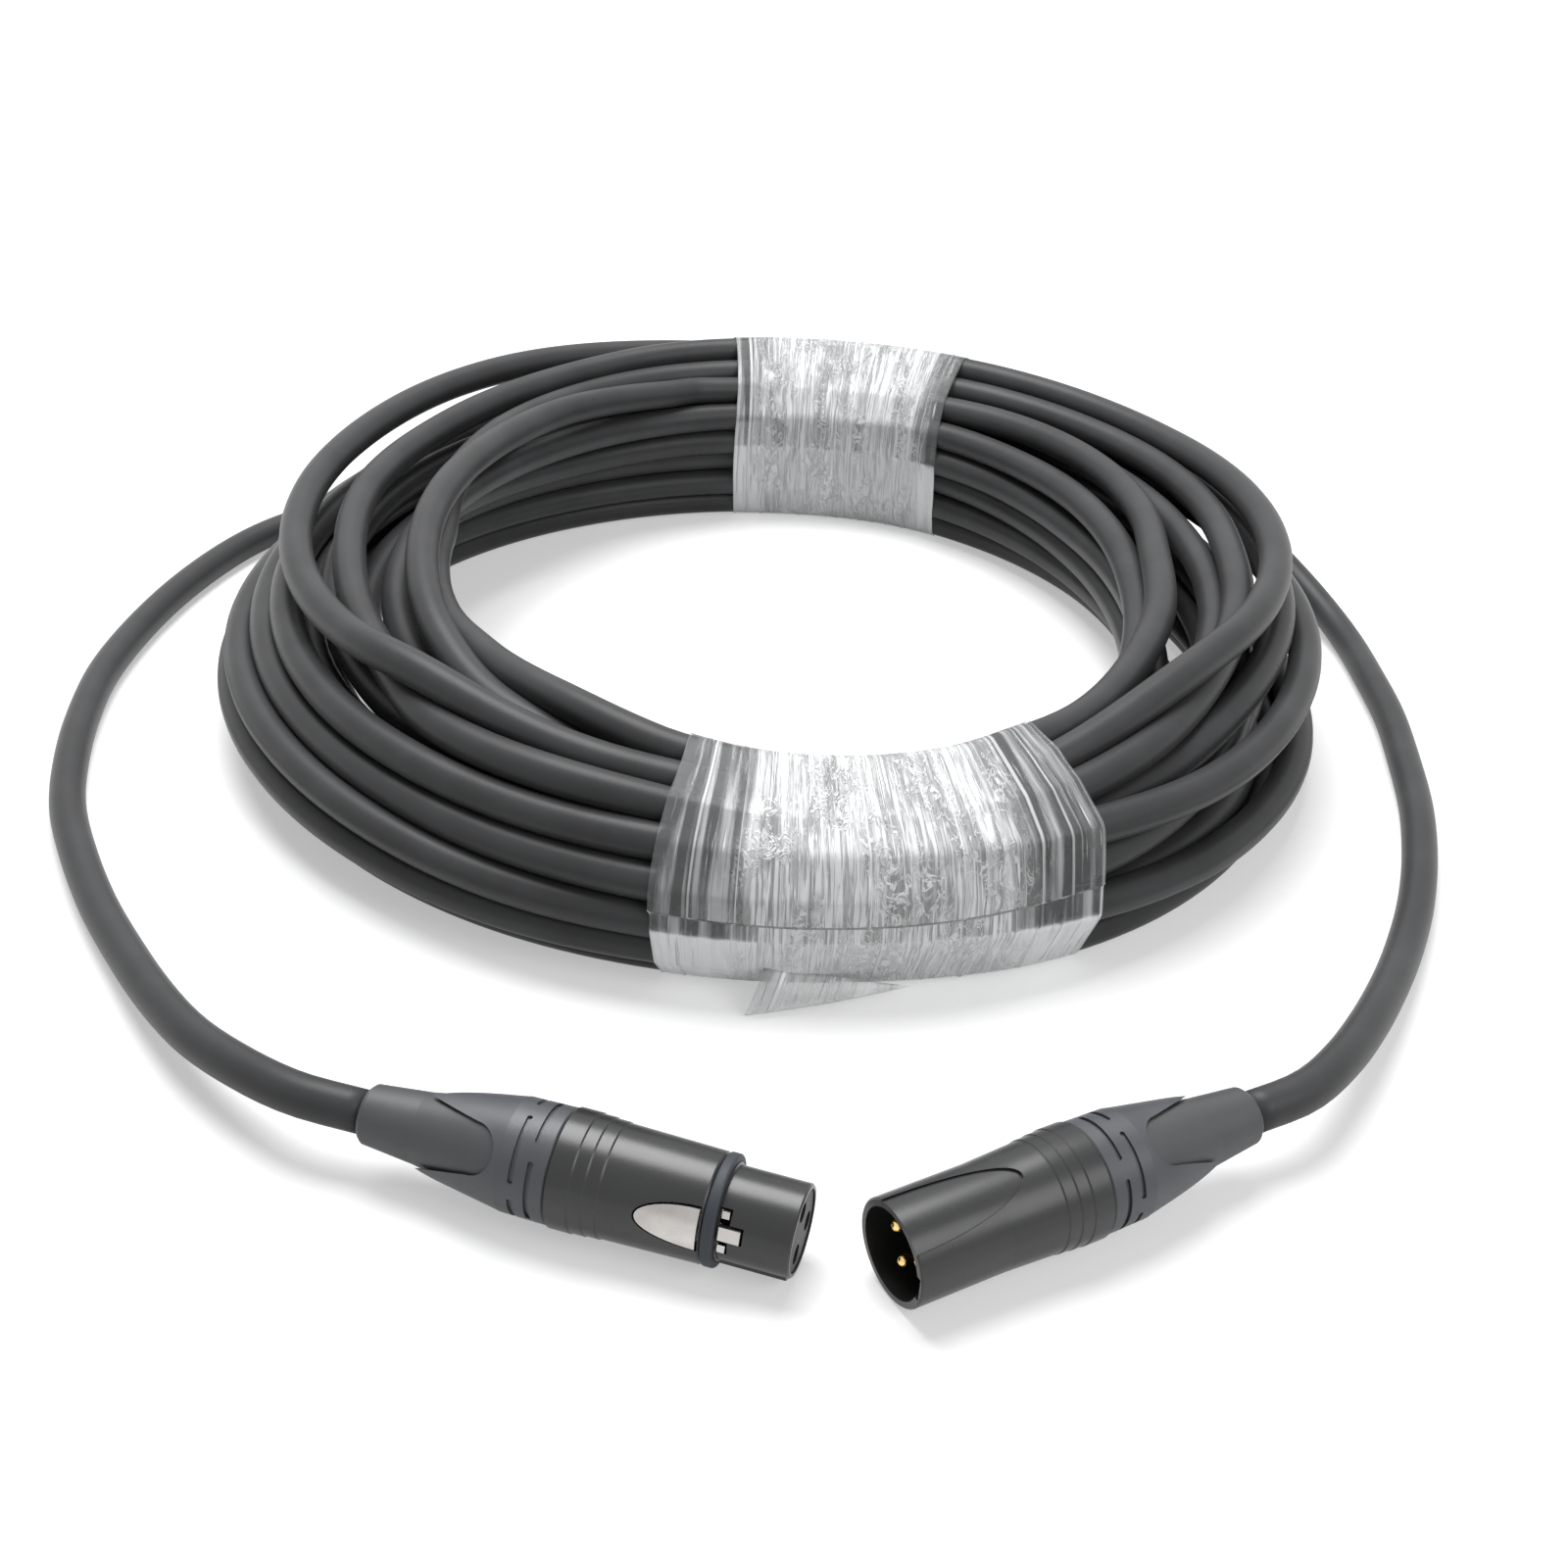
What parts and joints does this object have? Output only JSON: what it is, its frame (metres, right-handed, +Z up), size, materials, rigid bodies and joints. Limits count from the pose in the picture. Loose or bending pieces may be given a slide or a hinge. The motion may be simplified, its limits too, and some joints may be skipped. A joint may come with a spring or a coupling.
{
  "type": "coiled microphone cable",
  "caption": "Coiled balanced audio cable with a latching female and a male three-contact connector, its coil held by two clear film wraps.",
  "frame": {"origin": "centre of the coil's eye, on the surface that the cable lies on", "axes": "+Z up; the two connectors lie on the -Y side of the coil, the female to -X and the male to +X"},
  "size_m": [0.338, 0.3707, 0.0514],
  "materials": {
    "shell_metal": "satin black coat",
    "insert_plastic": "matt black",
    "gold_contact": "gold plated",
    "latch_steel": "satin nickel",
    "spring_steel": "plain",
    "seal_rubber": "matt blue grey",
    "ground_metal": "tinned",
    "core_insulation": "plain insulation",
    "chuck_plastic": "matt",
    "collar_plastic": "matt dark blue grey",
    "boot_rubber": "matt black",
    "cable_jacket": "matt dark grey, soft sheen",
    "film_wrap": "clear, creased"
  },
  "bodies": {
    "cable_set": {"female_shell": "shell_metal", "female_insert": "insert_plastic", "female_contacts": "gold_contact", "latch_spring": "spring_steel", "latch_pin": "spring_steel", "female_seal_ring": "seal_rubber", "female_ground_ring": "ground_metal", "female_cores": "core_insulation", "female_chuck": "chuck_plastic", "female_collar": "collar_plastic", "female_boot": "boot_rubber", "female_cable_end": "cable_jacket", "male_shell": "shell_metal", "male_insert": "insert_plastic", "male_pins": "gold_contact", "male_ground_ring": "ground_metal", "male_cores": "core_insulation", "male_chuck": "chuck_plastic", "male_collar": "collar_plastic", "male_boot": "boot_rubber", "male_cable_end": "cable_jacket", "cable_coil": "cable_jacket", "cable_tail_female": "cable_jacket", "cable_tail_male": "cable_jacket", "wrap_front": "film_wrap", "wrap_rear": "film_wrap"},
    "latch": {"female_latch": "latch_steel"}
  },
  "joints": [
    {"name": "latch_press", "type": "hinge", "parent": "cable_set", "child": "latch", "pos_m": [-0.01571, -0.21185, 0.01174], "axis": [0.1028, 0.2575, 0.9608], "range_deg": [0, 3.5], "stiffness_Nm_per_rad": 0.35, "springref_deg": -1.72, "deforming": ["latch_spring"]}
  ]
}
